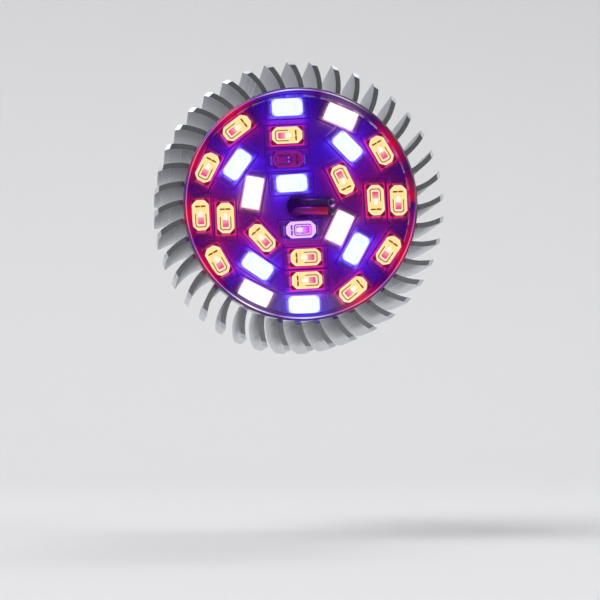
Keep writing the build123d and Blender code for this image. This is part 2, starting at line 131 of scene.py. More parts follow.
# What an emitter of each colour shows when it is lit. The seam runs round the tray that the
# die sits in, the bar is the slot at the other end, the line is a bright edge by the die, and
# the wires are its bond wires. The halo is how far the top glows past the mouth of the cup.
LOOKS = {
    "red": {
        "side": "#70062C", "rim": "#FFC4B0", "lip": "#FFEAD2", "wall": "#FFE8A4", "floor": "#FFE9A0",
        "seam": "#8A6C34", "tray": "#FFEFB6", "spot": "#FFFFF2", "bar": "#86381A", "die": "#EA2C82",
        "line": "#FFE0F4", "wires": "#D8CC94", "near": "#E02C00", "far": "#6C0028",
    },
    "blue": {
        "side": "#4030F0", "rim": "#D8DCFF", "lip": "#F6FFFF", "wall": "#F4FFFF", "floor": "#F6FFFF",
        "seam": "#E8FCF4", "tray": "#FAFFFF", "spot": "#FFFFFF", "bar": "#E4F8F0", "die": "#F4FFFF",
        "line": "#FFFFFF", "wires": "#F0FFF6", "near": "#7068C0", "far": "#4400F0",
    },
    "white": {
        "side": "#FFF2EC", "rim": "#FFF6F0", "lip": "#FFFFFF", "wall": "#FFFFFF", "floor": "#FFFFFF",
        "seam": "#FFFFF2", "tray": "#FFFFFF", "spot": "#FFFFFF", "bar": "#FFFFF4", "die": "#FFFFFF",
        "line": "#FFFFFF", "wires": "#FFFFF8", "near": "#C89078", "far": "#601C34",
    },
    "ultraviolet": {
        "side": "#4A1080", "rim": "#FBE4FF", "lip": "#F4CCFF", "wall": "#EEC0FF", "floor": "#F0C4FF",
        "seam": "#5C0890", "tray": "#F090FC", "spot": "#FFF4FF", "bar": "#6A10A0", "die": "#D414F0",
        "line": "#F07CFF", "wires": "#A030D0", "near": "#182C88", "far": "#340040",
    },
    "infrared": {
        "side": "#4A0478", "rim": "#7A10A0", "lip": "#8E12AC", "wall": "#8A0C92", "floor": "#820472",
        "seam": "#5C0460", "tray": "#46087E", "spot": "#5A0CA0", "bar": "#33044C", "die": "#96047A",
        "line": "#9A2CA0", "wires": "#6A1888", "near": "#400070", "far": "#000400",
    },
}
HALOS = {"blue": 0.05, "white": 0.05}

# The mouth of each colour's cup: its length, its width, its corners and how round they are. A
# mouth that glows past its edge is a little smaller, so that it seems as large as the others.
MOUTHS = {
    "red": (5.48, 3.05, 0.88, 0.15),
    "blue": (5.32, 3.07, 0.9, 0.15),
    "white": (5.3, 3.08, 0.45, 1.0),
    "ultraviolet": (5.3, 3.0, 0.88, 0.15),
    "infrared": (5.4, 3.0, 0.88, 0.15),
}

# The light that rests on the board, and the light caught by the cap's wall, by the line round
# its face and by the rim of the recess, beside an outer emitter of each colour or between two.
REST = "#000068"
WALL_CODES = {"red": "#A80828", "blue": "#2C12B4", "white": "#544060", "between": "#30044A"}
LINE_CODES = {"red": "#FF5C80", "blue": "#E6D4FF", "white": "#FFF4FF", "between": "#8C48BC"}
RIM_CODES = {"red": "#C83070", "blue": "#A090FF", "white": "#E8D0FF", "between": "#502078"}

# Materials. Each starts from one shader, and its pattern is made of nodes. A mix node has its
# colours at these places among its sockets.
MIX_FIRST, MIX_SECOND, MIX_RESULT = 6, 7, 2


def linear(code):
    """A linear colour from an sRGB hex value."""
    channels = [int(code[i : i + 2], 16) / 255 for i in (1, 3, 5)]
    return [c / 12.92 if c < 0.04045 else ((c + 0.055) / 1.055) ** 2.4 for c in channels]


def connect(tree, node, links):
    """Sets a node's inputs to values, or joins them to other nodes."""
    for socket, value in links.items():
        if isinstance(value, bpy.types.NodeSocket):
            tree.links.new(value, node.inputs[socket])
        else:
            node.inputs[socket].default_value = value


def add(tree, kind, links=None, **settings):
    """Adds a node with its settings and links."""
    node = tree.nodes.new(kind)
    for key, value in settings.items():
        setattr(node, key, value)
    connect(tree, node, links or {})
    return node


def start(name, code, roughness, metallic=0.0, **sockets):
    """Starts a material: gives it, its tree, its shader and a place on the object."""
    made = bpy.data.materials.new(name)
    made.use_nodes = True
    tree = made.node_tree
    shader = tree.nodes["Principled BSDF"]
    sockets.update(Base_Color=(*linear(code), 1), Roughness=roughness, Metallic=metallic)
    connect(tree, shader, {socket.replace("_", " "): value for socket, value in sockets.items()})
    where = add(tree, "ShaderNodeTexCoord").outputs["Object"]
    return made, tree, shader, where


def per(size):
    """A texture scale that repeats about once in a size given in millimetres."""
    return 1 / (size * MM)


def moulded(name, first, second, roughness, grain, depth, **sockets):
    """Moulded plastic: a fine even grain from the tool, and a slow wander in its colour and
    gloss where the melt flowed."""
    made, tree, shader, where = start(name, first, roughness, **sockets)
    flow = add(tree, "ShaderNodeTexNoise", {"Vector": where, "Scale": per(12 * grain), "Detail": 2.0})
    tint = add(
        tree,
        "ShaderNodeMix",
        {0: flow.outputs["Fac"], MIX_FIRST: (*linear(first), 1), MIX_SECOND: (*linear(second), 1)},
        data_type="RGBA",
    )
    fine = add(tree, "ShaderNodeTexNoise", {"Vector": where, "Scale": per(grain), "Detail": 3.0})
    gloss = add(
        tree,
        "ShaderNodeMapRange",
        {"Value": flow.outputs["Fac"], "To Min": 0.85 * roughness, "To Max": 1.15 * roughness},
    )
    bump = add(tree, "ShaderNodeBump", {"Height": fine.outputs["Fac"], "Distance": depth * MM})
    connect(
        tree,
        shader,
        {
            "Base Color": tint.outputs[MIX_RESULT],
            "Roughness": gloss.outputs["Result"],
            "Normal": bump.outputs["Normal"],
        },
    )
    return made


def plated(name, first, second, roughness, streak, depth, **sockets):
    """Plated or bare metal, drawn or turned round the lamp's axis: fine lines round it that
    spread the highlights, and a slight stain where it was handled."""
    made, tree, shader, where = start(name, first, roughness, metallic=1.0, **sockets)
    split = add(tree, "ShaderNodeSeparateXYZ", {"Vector": where})
    rings = add(tree, "ShaderNodeCombineXYZ", {"Y": split.outputs["Y"]})
    lines = add(
        tree,
        "ShaderNodeTexNoise",
        {"Vector": rings.outputs[0], "Scale": per(streak), "Detail": 4.0},
    )
    stain = add(tree, "ShaderNodeTexNoise", {"Vector": where, "Scale": per(7.0), "Detail": 4.0})
    tint = add(
        tree,
        "ShaderNodeMix",
        {0: stain.outputs["Fac"], MIX_FIRST: (*linear(first), 1), MIX_SECOND: (*linear(second), 1)},
        data_type="RGBA",
    )
    gloss = add(
        tree,
        "ShaderNodeMapRange",
        {
            "Value": lines.outputs["Fac"],
            "From Min": 0.3,
            "From Max": 0.7,
            "To Min": 0.75 * roughness,
            "To Max": 1.3 * roughness,
        },
    )
    bump = add(tree, "ShaderNodeBump", {"Height": lines.outputs["Fac"], "Distance": depth * MM})
    connect(
        tree,
        shader,
        {
            "Base Color": tint.outputs[MIX_RESULT],
            "Roughness": gloss.outputs["Result"],
            "Normal": bump.outputs["Normal"],
        },
    )
    return made


def rim_light(tree, where, codes):
    """The light round the face, by the bearing round the axis: the code of each outer emitter
    beside it, and the code for between in between."""
    outer = [e for e in emitters if hypot(e.centre.x, e.centre.z) > 0.75 * board_radius * MM]
    bearings = sorted((atan2(e.centre.z, e.centre.x) / (2 * pi) % 1, codes[e.tint]) for e in outer)
    before = [bearings[-1][0] - 1] + [bearing for bearing, _ in bearings]
    stops = []
    for last, (bearing, code) in zip(before, bearings):
        stops += [((last + bearing) / 2, codes["between"]), (bearing, code)]
    split = add(tree, "ShaderNodeSeparateXYZ", {0: where})
    turn = add(
        tree,
        "ShaderNodeMath",
        {0: split.outputs["Z"], 1: split.outputs["X"]},
        operation="ARCTAN2",
    )
    share = add(tree, "ShaderNodeMath", {0: turn.outputs[0], 1: 1 / (2 * pi)}, operation="MULTIPLY")
    share = add(tree, "ShaderNodeMath", {0: share.outputs[0]}, operation="FRACT")
    ramp = add(tree, "ShaderNodeValToRGB", {"Fac": share.outputs[0]})
    marks = ramp.color_ramp.elements
    for position, code in stops[1:]:
        marks.new(position).color = (*linear(code), 1)
    marks[0].color = marks[-1].color = (*linear(codes["between"]), 1)
    return ramp.outputs["Color"]


def extruded_aluminium():
    """Heat sink: extruded aluminium, so its fins carry fine draw lines along their length, and
    turned outside, where the tool left rings. It is bright, with a slight stain. The light from
    the emitters catches on the edge of the recess, and a little of it falls into the hole for
    the leads."""
    edge_begin, edge_end, edge_depth, edge_reach, hole_reach = 0.12, 0.32, 0.4, 0.9, 0.8
    made, tree, shader, where = start("extruded and turned aluminium", "#C6C9CE", 0.3, metallic=1.0)
    split = add(tree, "ShaderNodeSeparateXYZ", {"Vector": where})
    flat = add(tree, "ShaderNodeCombineXYZ", {"X": split.outputs["X"], "Y": split.outputs["Z"]})
    radius = add(tree, "ShaderNodeVectorMath", {0: flat.outputs[0]}, operation="LENGTH")
    turned = add(tree, "ShaderNodeCombineXYZ", {"X": radius.outputs["Value"], "Y": split.outputs["Y"]})
    draw = add(
        tree,
        "ShaderNodeTexNoise",
        {"Vector": flat.outputs[0], "Scale": per(0.25), "Detail": 3.0},
    )
    rings = add(
        tree,
        "ShaderNodeTexNoise",
        {"Vector": turned.outputs[0], "Scale": per(0.3), "Detail": 3.0},
    )
    turned_outside = add(
        tree,
        "ShaderNodeMapRange",
        {
            "Value": radius.outputs["Value"],
            "From Min": (body_radius - 0.4) * MM,
            "From Max": (body_radius - 0.25) * MM,
        },
    )
    lines = add(
        tree,
        "ShaderNodeMix",
        {0: turned_outside.outputs["Result"], 2: draw.outputs["Fac"], 3: rings.outputs["Fac"]},
    )
    gloss = add(tree, "ShaderNodeMapRange", {"Value": lines.outputs[0], "To Min": 0.2, "To Max": 0.42})
    stain = add(tree, "ShaderNodeTexNoise", {"Vector": where, "Scale": per(9.0), "Detail": 5.0})
    grey, bright = (*linear("#B4B8BF"), 1), (*linear("#D6D8DB"), 1)
    tint = add(
        tree,
        "ShaderNodeMix",
        {0: stain.outputs["Fac"], MIX_FIRST: grey, MIX_SECOND: bright},
        data_type="RGBA",
    )
    bump = add(tree, "ShaderNodeBump", {"Height": lines.outputs[0], "Distance": 0.012 * MM})
    beyond_rim = add(
        tree,
        "ShaderNodeMapRange",
        {
            "Value": radius.outputs["Value"],
            "From Min": (recess_radius + edge_begin) * MM,
            "From Max": (recess_radius + edge_end) * MM,
            "To Min": 1.0,
            "To Max": 0.0,
        },
    )
    ahead = add(
        tree,
        "ShaderNodeMapRange",
        {
            "Value": split.outputs["Y"],
            "From Min": -(sink_front - edge_depth) * MM,
            "From Max": -(sink_front - edge_reach) * MM,
            "To Min": 1.0,
            "To Max": 0.0,
        },
    )
    caught = add(
        tree,
        "ShaderNodeMath",
        {0: beyond_rim.outputs["Result"], 1: ahead.outputs["Result"]},
        operation="MULTIPLY",
    )
    edge = add(
        tree,
        "ShaderNodeVectorMath",
        {0: rim_light(tree, where, RIM_CODES), "Scale": caught.outputs[0]},
        operation="SCALE",
    )
    in_hole = add(
        tree,
        "ShaderNodeMath",
        {0: radius.outputs["Value"], 1: (hole_radius + hole_reach) * MM},
        operation="LESS_THAN",
    )
    shown = add(
        tree,
        "ShaderNodeMix",
        {0: in_hole.outputs[0], MIX_FIRST: edge.outputs[0], MIX_SECOND: (*linear("#240068"), 1)},
        data_type="RGBA",
    )
    connect(
        tree,
        shader,
        {
            "Base Color": tint.outputs[MIX_RESULT],
            "Roughness": gloss.outputs["Result"],
            "Normal": bump.outputs["Normal"],
            "Emission Color": shown.outputs[MIX_RESULT],
            "Emission Strength": 0.55,
        },
    )
    return made


def clear_polycarbonate():
    """Cap: clear polycarbonate, moulded in a polished tool. It is glossy, bends what is seen
    through its wall, and has a faint waviness from the moulding. Its wall is painted a dim
    violet as painted shade, and glows with the painted light of the emitters. A painted bright
    line runs round its face where the edge begins to round, and it fades on the upper right."""
    line_radius, line_width, line_fade = cap_radius - cap_edge, 0.22, radians(32)
    wall_glow, glow_fade, glow_fall = 0.4, 0.15, 0.12
    made, tree, shader, where = start(
        "moulded clear polycarbonate", "#FDFDFF", 0.02, IOR=1.585, Transmission_Weight=1.0
    )
    waves = add(tree, "ShaderNodeTexNoise", {"Vector": where, "Scale": per(6.0), "Detail": 1.0})
    bump = add(tree, "ShaderNodeBump", {"Height": waves.outputs["Fac"], "Distance": 0.004 * MM})
    rub = add(tree, "ShaderNodeTexNoise", {"Vector": where, "Scale": per(3.0), "Detail": 5.0})
    gloss = add(
        tree,
        "ShaderNodeMapRange",
        {"Value": rub.outputs["Fac"], "To Min": 0.0, "To Max": 0.05},
    )
    split = add(tree, "ShaderNodeSeparateXYZ", {0: where})
    flat = add(tree, "ShaderNodeCombineXYZ", {"X": split.outputs["X"], "Y": split.outputs["Z"]})
    radius = add(tree, "ShaderNodeVectorMath", {0: flat.outputs[0]}, operation="LENGTH")
    inside = cap_radius - cap_wall - wall_glow
    wall = add(
        tree,
        "ShaderNodeMapRange",
        {
            "Value": radius.outputs["Value"],
            "From Min": inside * MM,
            "From Max": (inside + glow_fade) * MM,
        },
    )
    line = add(
        tree,
        "ShaderNodeMath",
        {0: radius.outputs["Value"], 1: line_radius * MM, 2: line_width / 2 * MM},
        operation="COMPARE",
    )
    # The wall's base colour is a painted dim violet: painted shade, tinted by the emitters' light.
    clear, painted_wall_shade = (*linear("#FDFDFF"), 1), (*linear("#1C0834"), 1)
    tint = add(
        tree,
        "ShaderNodeMix",
        {0: wall.outputs["Result"], MIX_FIRST: clear, MIX_SECOND: painted_wall_shade},
        data_type="RGBA",
    )
    within = add(
        tree,
        "ShaderNodeMapRange",
        {
            "Value": radius.outputs["Value"],
            "From Min": line_radius * MM,
            "From Max": (line_radius + glow_fall) * MM,
            "To Min": 1.0,
            "To Max": 0.05,
        },
    )
    band = add(
        tree,
        "ShaderNodeMath",
        {0: wall.outputs["Result"], 1: within.outputs["Result"]},
        operation="MULTIPLY",
    )
    held = add(
        tree,
        "ShaderNodeVectorMath",
        {0: rim_light(tree, where, WALL_CODES), "Scale": band.outputs[0]},
        operation="SCALE",
    )
    towards_fade = add(
        tree,
        "ShaderNodeVectorMath",
        {0: flat.outputs[0], 1: (cos(line_fade), sin(line_fade), 0)},
        operation="DOT_PRODUCT",
    )
    left = add(
        tree,
        "ShaderNodeMapRange",
        {
            "Value": towards_fade.outputs["Value"],
            "From Min": 0.7 * cap_radius * MM,
            "From Max": 0.92 * cap_radius * MM,
            "To Min": 1.0,
            "To Max": 0.12,
        },
    )
    bright = add(
        tree,
        "ShaderNodeVectorMath",
        {0: rim_light(tree, where, LINE_CODES), "Scale": left.outputs["Result"]},
        operation="SCALE",
    )
    shown = add(
        tree,
        "ShaderNodeMix",
        {0: line.outputs[0], MIX_FIRST: held.outputs[0], MIX_SECOND: bright.outputs[0]},
        data_type="RGBA",
    )
    connect(
        tree,
        shader,
        {
            "Base Color": tint.outputs[MIX_RESULT],
            "Roughness": gloss.outputs["Result"],
            "Normal": bump.outputs["Normal"],
            "Emission Color": shown.outputs[MIX_RESULT],
            "Emission Strength": 1.2,
        },
    )
    return made


def clear_silicone(name, code):
    """Resin in a package's cup: clear silicone, poured and cured. Its top is glossy and has
    the faint ripple of a liquid that set."""
    made, tree, shader, where = start(name, code, 0.03, IOR=1.41, Transmission_Weight=1.0)
    ripple = add(tree, "ShaderNodeTexNoise", {"Vector": where, "Scale": per(1.5), "Detail": 1.0})
    bump = add(tree, "ShaderNodeBump", {"Height": ripple.outputs["Fac"], "Distance": 0.01 * MM})
    gloss = add(
        tree,
        "ShaderNodeMapRange",
        {"Value": ripple.outputs["Fac"], "To Min": 0.01, "To Max": 0.06},
    )
    connect(tree, shader, {"Roughness": gloss.outputs["Result"], "Normal": bump.outputs["Normal"]})
    return made


def lit(name, code, roughness, share, strength, grain, depth):
    """A surface that the emitters light: its base colour is made near-black as painted shade, and
    it shows the painted light that was stored at its points, broken up a little by its grain."""
    made, tree, shader, where = start(name, code, roughness, Emission_Strength=strength)
    stored = add(tree, "ShaderNodeAttribute", attribute_name="glow")
    fine = add(tree, "ShaderNodeTexNoise", {"Vector": where, "Scale": per(grain), "Detail": 3.0})
    dapple = add(
        tree,
        "ShaderNodeMapRange",
        {"Value": fine.outputs["Fac"], "To Min": 0.82, "To Max": 1.18},
    )
    shown = add(
        tree,
        "ShaderNodeVectorMath",
        {0: stored.outputs["Color"], "Scale": dapple.outputs["Result"]},
        operation="SCALE",
    )
    # The base colour: the near-black painted shade, with a little of the stored painted light.
    own = add(
        tree,
        "ShaderNodeMix",
        {0: share, MIX_FIRST: (*linear(code), 1), MIX_SECOND: stored.outputs["Color"]},
        data_type="RGBA",
    )
    bump = add(tree, "ShaderNodeBump", {"Height": fine.outputs["Fac"], "Distance": depth * MM})
    connect(
        tree,
        shader,
        {
            "Base Color": own.outputs[MIX_RESULT],
            "Emission Color": shown.outputs[0],
            "Normal": bump.outputs["Normal"],
        },
    )
    return made


def spill(points):
    """The light that the emitters throw on points, as linear colours. It falls off from the
    side of each package, first steeply and then slowly, and sooner beyond its ends. The leads
    and the edge of their hole are in shade."""
    near_reach, far_reach, ends = 0.4, 2.2, 2.0
    deepest, hole_shade, lead_shade = 0.6, 0.35, 0.8
    points = np.asarray(points, float).reshape(-1, 3) / MM
    light = np.tile(linear(REST), (len(points), 1))
    for emitter in emitters:
        look = LOOKS[emitter.tint]
        offset = points - np.array(emitter.centre) / MM
        x = np.abs(offset @ np.array(emitter.along)) - package_length / 2
        y = np.abs(offset @ np.array(emitter.across)) - package_width / 2
        gap = np.hypot(ends * np.maximum(x, 0), np.maximum(y, 0))[:, None]
        light += np.exp(-gap / near_reach) * linear(look["near"])
        light += np.exp(-gap / far_reach) * linear(look["far"])
    from_hole = np.hypot(points[:, 0], points[:, 2]) - hole_radius
    beside_leads = points[:, 0] - np.clip(points[:, 0], 0, lead_end)
    across_leads = points[:, 2] - np.clip(points[:, 2], red_level, black_level)
    from_leads = np.hypot(beside_leads, across_leads) - lead_radius
    shade = 1 - deepest * np.exp(-np.maximum(from_hole, 0) / hole_shade)
    shade *= 1 - deepest * np.exp(-((np.maximum(from_leads, 0) / lead_shade) ** 2))
    return np.minimum(light * shade[:, None], 1)


# Ways of making a piece.


def shape(name, points, faces, finish, slot, *stands_for, crease=35):
    """A mesh piece from points and faces, smooth up to a crease angle, that rides on the lamp."""
    mesh = bpy.data.meshes.new(name)
    mesh.from_pydata(points, [], faces)
    work = bmesh.new()
    work.from_mesh(mesh)
    bmesh.ops.recalc_face_normals(work, faces=work.faces)
    work.to_mesh(mesh)
    work.free()
    mesh.shade_smooth()
    mesh.set_sharp_from_angle(angle=radians(crease))
    mesh.materials.append(finish)
    made = bpy.data.objects.new(name, mesh)
    bpy.context.scene.collection.objects.link(made)
    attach(made, "root")
    if stands_for:
        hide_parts(*stands_for)
    return made


def glow(made, colours):
    """Stores a linear colour at every point of a piece."""
    layer = made.data.color_attributes.new(name="glow", type="FLOAT_COLOR", domain="POINT")
    flat = np.ones((len(made.data.vertices), 4))
    flat[:, :3] = np.asarray(colours).reshape(-1, 3)
    layer.data.foreach_set("color", flat.ravel())


class Bench:
    """Gathers closed solids for one piece, with the light at every point."""

    def __init__(self):
        self.points, self.faces, self.glows = [], [], []

    def stack(self, *rings):
        """A solid through rings of points, each given with its colour, closed at both ends."""
        start_at = len(self.points)
        count = len(rings[0][0])
        for ring, colour in rings:
            self.points += ring
            self.glows += list(np.broadcast_to(colour, (count, 3)))
        for level in range(len(rings) - 1):
            low = start_at + level * count
            for i in range(count):
                on = (i + 1) % count
                self.faces.append((low + i, low + on, low + count + on, low + count + i))
        self.faces.append(tuple(reversed(range(start_at, start_at + count))))
        self.faces.append(tuple(range(low + count, low + 2 * count)))

    def loop(self, *rings):
        """A frame through rings of points that closes on itself."""
        start_at = len(self.points)
        count = len(rings[0][0])
        for ring, colours in rings:
            self.points += ring
            self.glows += list(colours)
        for level in range(len(rings)):
            low = start_at + level * count
            high = start_at + (level + 1) % len(rings) * count
            for i in range(count):
                on = (i + 1) % count
                self.faces.append((low + i, low + on, high + on, high + i))

    def piece(self, name, finish, slot, *stands_for, crease=35):
        """Makes the piece from what was gathered."""
        made = shape(name, self.points, self.faces, finish, slot, *stands_for, crease=crease)
        glow(made, self.glows)


def rounded(*corners, steps=6):
    """A closed profile of radius and height, through corners given with the round of each."""
    profile = []
    for i, (radius, height, fillet) in enumerate(corners):
        here = Vector((radius, height))
        back = (Vector(corners[i - 1][:2]) - here).normalized()
        on = (Vector(corners[(i + 1) % len(corners)][:2]) - here).normalized()
        if fillet == 0:
            profile.append(here)
            continue
        half = back.angle(on) / 2
        centre = here + (back + on).normalized() * fillet / sin(half)
        first = here + back * fillet / tan(half) - centre
        last = here + on * fillet / tan(half) - centre
        begin = atan2(first.y, first.x)
        turn = (atan2(last.y, last.x) - begin + pi) % (2 * pi) - pi
        for step in range(steps + 1):
            angle = begin + turn * step / steps
            profile.append(centre + fillet * Vector((cos(angle), sin(angle))))
    return profile


def lathe(name, profile, finish, slot, *stands_for, segments=192):
    """A turned piece: a closed profile of radius and height, spun round the lamp's axis."""
    points, faces, rows = [], [], []
    for radius, height in profile:
        count = 1 if radius < 1e-6 else segments
        rows.append([len(points) + i % count for i in range(segments)])
        for i in range(count):
            angle = 2 * pi * i / segments
            points.append(place(radius * cos(angle), radius * sin(angle), height))
    for low, high in zip(rows, rows[1:] + rows[:1]):
        for i in range(segments):
            on = (i + 1) % segments
            corners = dict.fromkeys((low[i], low[on], high[on], high[i]))
            if len(corners) > 2:
                faces.append(tuple(corners))
    return shape(name, points, faces, finish, slot, *stands_for)


# Finishes of the lamp.
aluminium = extruded_aluminium()
polycarbonate = clear_polycarbonate()
# Nickel on rolled brass: bright and slightly warm, with fine rings from the rolling. On the
# stamped contact it is a little duller, and the zinc of the screws is greyer and duller still.
nickel = plated("thread-rolled nickel-plated brass", "#CFC9BE", "#E0DBD2", 0.2, 0.35, 0.004)
contact_nickel = plated("stamped nickel-plated contact", "#D6D2C8", "#C2BCB0", 0.24, 0.3, 0.003)
zinc = plated("zinc-plated steel", "#B9BDC2", "#A9AEB6", 0.32, 0.3, 0.004)
# Enamelled wire: warm and glossy, with a line for every turn. The choke stands right behind the
# hole for the leads, so a little of the light reaches it.
copper_wire = plated(
    "enamelled copper wire",
    "#B8672E",
    "#A4531F",
    0.3,
    0.45,
    0.02,
    Emission_Color=(*linear("#200050"), 1),
    Emission_Strength=1.0,
)
# Moulded parts: the housing's white is satin and slightly warm, the insulator's black is hard
# and glossy, and the black of the small cases is matt from its filler.
white_plastic = moulded(
    "moulded white polycarbonate", "#F2F0EB", "#EBE8E2", 0.34, 0.35, 0.006, IOR=1.58
)
black_plastic = moulded("moulded black thermoset", "#17171A", "#202024", 0.28, 0.4, 0.006, IOR=1.6)
black_epoxy = moulded("moulded black epoxy", "#1B1B1D", "#242427", 0.45, 0.2, 0.006)
# Insulation: soft vinyl with a low gloss, smooth from the die.
red_vinyl = moulded("extruded red vinyl", "#B4121E", "#C01A26", 0.38, 0.3, 0.004)
black_vinyl = moulded("extruded black vinyl", "#121214", "#1A1A1D", 0.36, 0.3, 0.004)
# Inside: a dull soft pad, a satin board with a faint mottle, a taut glossy sleeve, a thick
# glossy dip, dull gritty ferrite and a satin lacquer.
grey_silicone = moulded("cured grey silicone pad", "#8C9096", "#7F838A", 0.6, 0.25, 0.01)
green_laminate = moulded("pressed glass-epoxy laminate", "#2F6B46", "#3A7A50", 0.42, 0.4, 0.008)
blue_sleeve = moulded("shrunk vinyl sleeve", "#1F2A5C", "#283468", 0.3, 0.6, 0.01)
red_dip = moulded("dipped epoxy", "#9C2A1E", "#8C2419", 0.25, 0.8, 0.02)
ferrite = moulded("sintered ferrite", "#38373A", "#2D2C2F", 0.55, 0.15, 0.01)
blue_lacquer = moulded("baked lacquer", "#7E97B8", "#8CA3C0", 0.35, 0.3, 0.01)
# In the painted light of the emitters, over near-black bases that are painted shade: a smooth
# glossy mask, bright tin and solder that ran and set, the packages' satin resin, and the
# insulation of the leads.
lit_mask = lit("printed solder mask", "#06020E", 0.25, 0.1, 1.0, 0.5, 0.006)
lit_tin = lit("reflowed tin, lit", "#1E1430", 0.3, 0.2, 0.9, 0.3, 0.006)
lit_solder = lit("reflowed solder, lit", "#08040E", 0.28, 0.1, 1.0, 0.4, 0.006)
lit_resin = lit("moulded package resin", "#1A0A14", 0.3, 0.15, 1.1, 0.25, 0.003)
lit_red_vinyl = lit("extruded red vinyl, lit", "#26020E", 0.5, 0.1, 1.0, 0.3, 0.004)
lit_black_vinyl = lit("extruded black vinyl, lit", "#050208", 0.6, 0.1, 1.0, 0.3, 0.004)

# Finishes of the nodes that keep their CAD shape.
KEPT = {
    "heat_sink": aluminium,
    "neck_housing": white_plastic,
    "thermal_pad": grey_silicone,
    "housing_screws": zinc,
    "driver_board": green_laminate,
    "smoothing_capacitor": blue_sleeve,
    "film_capacitor": red_dip,
    "choke_core": ferrite,
    "choke_winding": copper_wire,
    "bridge_rectifier": black_epoxy,
    "driver_chip": black_epoxy,
    "fuse_resistor": blue_lacquer,
    "live_wire": red_vinyl,
    "neutral_wire": black_vinyl,
}
for node, finish in KEPT.items():
    nodes[node].data.materials.clear()
    nodes[node].data.materials.append(finish)


def emitter_outline(length, width, corner, round_share):
    """The outline of a package or its cup, whose corners are cut off or rounded."""
    ring, steps = [], 4
    corner = min(corner, 0.45 * width)
    for side_x, side_y, first in ((1, 1, 0), (-1, 1, 90), (-1, -1, 180), (1, -1, 270)):
        begin, end = radians(first), radians(first + 90)
        for step in range(steps + 1):
            share = step / steps
            turn = begin + (end - begin) * share
            cut_x = cos(begin) + (cos(end) - cos(begin)) * share
            cut_y = sin(begin) + (sin(end) - sin(begin)) * share
            x = cut_x + (cos(turn) - cut_x) * round_share
            y = cut_y + (sin(turn) - cut_y) * round_share
            across = side_y * (width / 2 - corner) + corner * y
            ring.append((side_x * (length / 2 - corner) + corner * x, across))
    return ring


# The plates on the floor of a cup: what each shows, its place along the package, its length,
# its width, its corners and its rise above the floor. In most packages a second plate covers
# the seam's end. The tray of the ultraviolet one has a seam all round, and a line inside it.
FLOOR_PLATES = [
    ("seam", -0.5, 3.3, 2.06, 0.5, 0.02),
    ("tray", -0.33, 3.24, 1.66, 0.4, 0.03),
    ("floor", 0.9, 1.3, 2.1, 0.1, 0.035),
    ("line", -1.8, 0.22, 1.42, 0.1, 0.05),
]
ULTRAVIOLET_PLATES = [
    ("seam", -0.37, 3.2, 2.1, 0.55, 0.02),
    ("floor", -0.37, 2.84, 1.78, 0.45, 0.03),
    ("wires", -0.37, 2.46, 1.44, 0.3, 0.035),
    ("tray", -0.37, 2.2, 1.18, 0.25, 0.04),
    ("line", -1.8, 0.22, 1.42, 0.1, 0.05),
]


